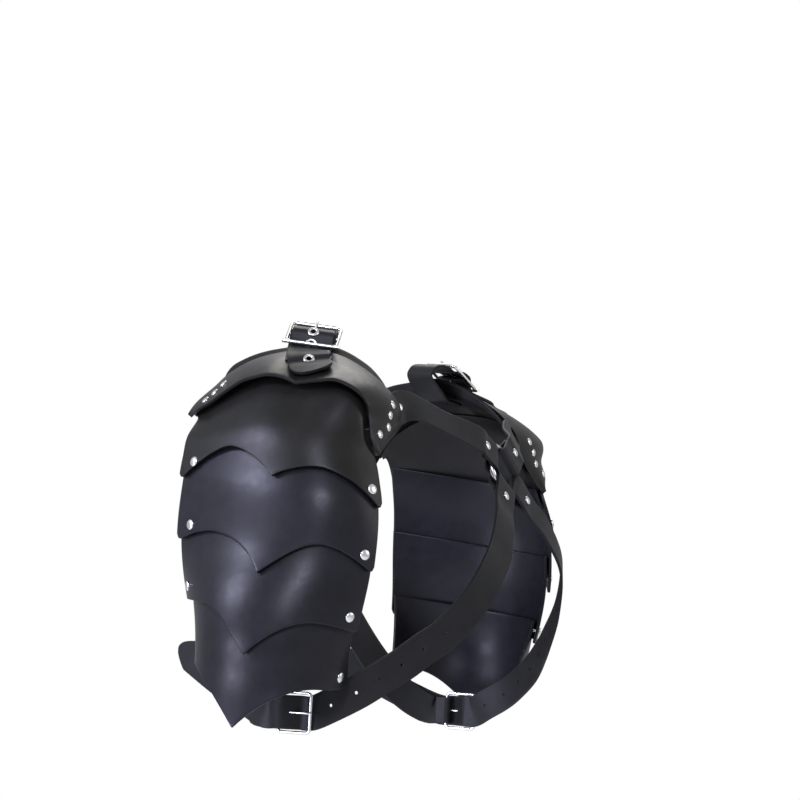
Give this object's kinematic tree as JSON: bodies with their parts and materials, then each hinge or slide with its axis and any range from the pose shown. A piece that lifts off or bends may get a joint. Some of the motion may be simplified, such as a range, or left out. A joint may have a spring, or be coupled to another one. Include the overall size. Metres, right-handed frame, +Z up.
{
  "type": "shoulder harness",
  "caption": "Black leather shoulder harness: layered pauldrons under buckled caps, joined by straps to a chest ring and a back ring.",
  "frame": {"origin": "middle plane between the two shoulders, at the level where the caps sit", "axes": "+X to the wearer's left, -Y to the wearer's front, +Z up"},
  "size_m": [0.5272, 0.2948, 0.3794],
  "materials": {
    "plate_leather": "black, satin, with a broad sheen",
    "strap_leather": "black, satin",
    "nickel": "polished nickel plate"
  },
  "bodies": {
    "root": {"chest_ring": "nickel", "back_ring": "nickel", "shoulder_cap_left": "plate_leather", "shoulder_yoke_left": "strap_leather", "lame_1_left": "plate_leather", "lame_2_left": "plate_leather", "lame_3_left": "plate_leather", "lame_4_left": "plate_leather", "lame_1_front_rivet_left": "nickel", "lame_1_back_rivet_left": "nickel", "lame_2_front_rivet_left": "nickel", "lame_2_back_rivet_left": "nickel", "lame_3_front_rivet_left": "nickel", "lame_3_back_rivet_left": "nickel", "lame_4_front_rivet_left": "nickel", "lame_4_back_rivet_left": "nickel", "chest_strap_left": "strap_leather", "back_strap_left": "strap_leather", "shoulder_buckle_left": "nickel", "shoulder_prong_left": "nickel", "buckle_tongue_left": "strap_leather", "buckle_anchor_left": "strap_leather", "side_buckle_left": "nickel", "side_prong_left": "nickel", "under_arm_strap_left": "strap_leather", "lower_back_strap_left": "strap_leather", "shoulder_cap_right": "plate_leather", "shoulder_yoke_right": "strap_leather", "lame_1_right": "plate_leather", "lame_2_right": "plate_leather", "lame_3_right": "plate_leather", "lame_4_right": "plate_leather", "lame_1_front_rivet_right": "nickel", "lame_1_back_rivet_right": "nickel", "lame_2_front_rivet_right": "nickel", "lame_2_back_rivet_right": "nickel", "lame_3_front_rivet_right": "nickel", "lame_3_back_rivet_right": "nickel", "lame_4_front_rivet_right": "nickel", "lame_4_back_rivet_right": "nickel", "chest_strap_right": "strap_leather", "back_strap_right": "strap_leather", "shoulder_buckle_right": "nickel", "shoulder_prong_right": "nickel", "buckle_tongue_right": "strap_leather", "buckle_anchor_right": "strap_leather", "side_buckle_right": "nickel", "side_prong_right": "nickel", "under_arm_strap_right": "strap_leather", "lower_back_strap_right": "strap_leather"}
  },
  "joints": []
}
